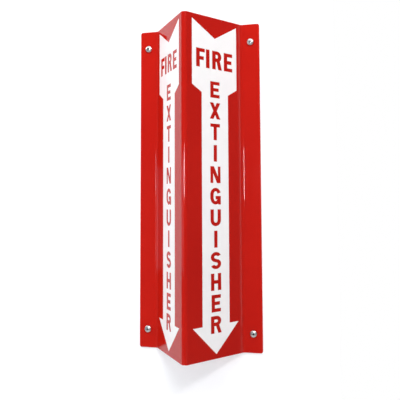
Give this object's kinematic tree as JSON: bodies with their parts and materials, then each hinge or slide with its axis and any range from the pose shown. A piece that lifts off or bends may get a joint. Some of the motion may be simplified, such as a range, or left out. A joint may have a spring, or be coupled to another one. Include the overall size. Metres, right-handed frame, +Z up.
{
  "type": "projecting fire extinguisher sign",
  "caption": "V-shaped wall sign folded from a sheet of red acrylic, with a printed arrow on each face that marks a fire extinguisher from either side, screwed on through its flanges.",
  "frame": {"origin": "in the wall plane, at the middle of the four screws", "axes": "+Z up along the nose of the V, +Y into the wall, +X to the right of someone who faces the wall; the nose of the V is at the most negative Y"},
  "size_m": [0.1772, 0.102, 0.4572],
  "materials": {
    "red_acrylic": "glossy red cast acrylic",
    "bright_screw": "bright zinc plate",
    "white_print": "glossy white screen print"
  },
  "bodies": {
    "root": {"folded_sheet": "red_acrylic", "mounting_screws": "bright_screw"}
  },
  "joints": []
}
